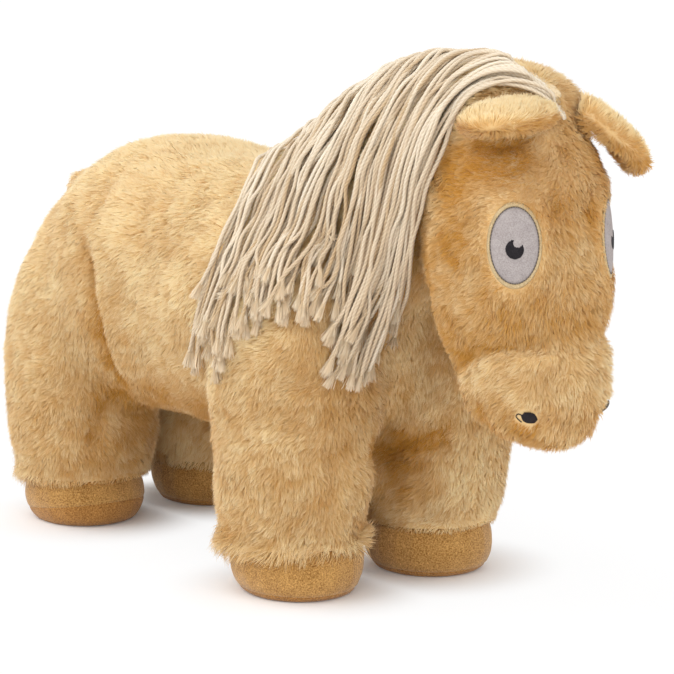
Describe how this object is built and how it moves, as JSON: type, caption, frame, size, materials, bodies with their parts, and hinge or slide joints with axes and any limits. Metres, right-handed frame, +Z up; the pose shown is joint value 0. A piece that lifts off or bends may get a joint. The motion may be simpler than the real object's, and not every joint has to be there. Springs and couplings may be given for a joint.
{
  "type": "plush horse",
  "caption": "Standing stuffed horse with long-pile coat, suede feet, flopping ears, a yarn mane over its right side and a yarn tail that lifts.",
  "frame": {"origin": "on the floor under the middle of the horse's bounding box", "axes": "+X towards the horse's nose, +Y towards its left side, +Z up"},
  "size_m": [0.475, 0.1852, 0.2943],
  "materials": {
    "pile": "golden long-pile plush, pale at the tips and tan at the roots",
    "suede": "short-pile brown suede cloth on the feet",
    "sole": "darker orange-brown suede cloth under the feet",
    "yarn": "twisted undyed cotton yarn with frayed ends",
    "tape": "woven cotton tape and wrapped thread",
    "eye_felt": "pale grey-white velvet applique",
    "rim_thread": "satin stitch in grey and cream thread",
    "black_thread": "raised black embroidery thread"
  },
  "bodies": {
    "torso": {"body": "pile", "neck": "pile", "head": "pile", "muzzle": "pile", "foreleg_right": "pile", "hoof_foreleg_right": "suede", "sole_foreleg_right": "sole", "hindleg_right": "pile", "hoof_hindleg_right": "suede", "sole_hindleg_right": "sole", "foreleg_left": "pile", "hoof_foreleg_left": "suede", "sole_foreleg_left": "sole", "hindleg_left": "pile", "hoof_hindleg_left": "suede", "sole_hindleg_left": "sole", "eye_right": "eye_felt", "eye_rim_right": "rim_thread", "pupil_right": "black_thread", "nostril_right": "black_thread", "eye_left": "eye_felt", "eye_rim_left": "rim_thread", "pupil_left": "black_thread", "nostril_left": "black_thread", "mane_tape": "tape", "mane": "yarn"},
    "ear_right": {"ear_right": "pile"},
    "ear_left": {"ear_left": "pile"},
    "tail": {"tail_binding": "tape", "tail": "yarn"}
  },
  "joints": [
    {"name": "ear_right_flop", "type": "hinge", "parent": "torso", "child": "ear_right", "pos_m": [0.20215, -0.02652, 0.263], "axis": [0.8988, 0.4384, 0], "range_deg": [-12, 20], "stiffness_Nm_per_rad": 0.03},
    {"name": "ear_left_flop", "type": "hinge", "parent": "torso", "child": "ear_left", "pos_m": [0.20215, 0.03148, 0.263], "axis": [-0.8988, 0.4384, 0], "range_deg": [-12, 20], "stiffness_Nm_per_rad": 0.03},
    {"name": "tail_lift", "type": "hinge", "parent": "torso", "child": "tail", "pos_m": [-0.19935, 0.00248, 0.1965], "axis": [0, 1, 0], "range_deg": [0, 80]}
  ]
}
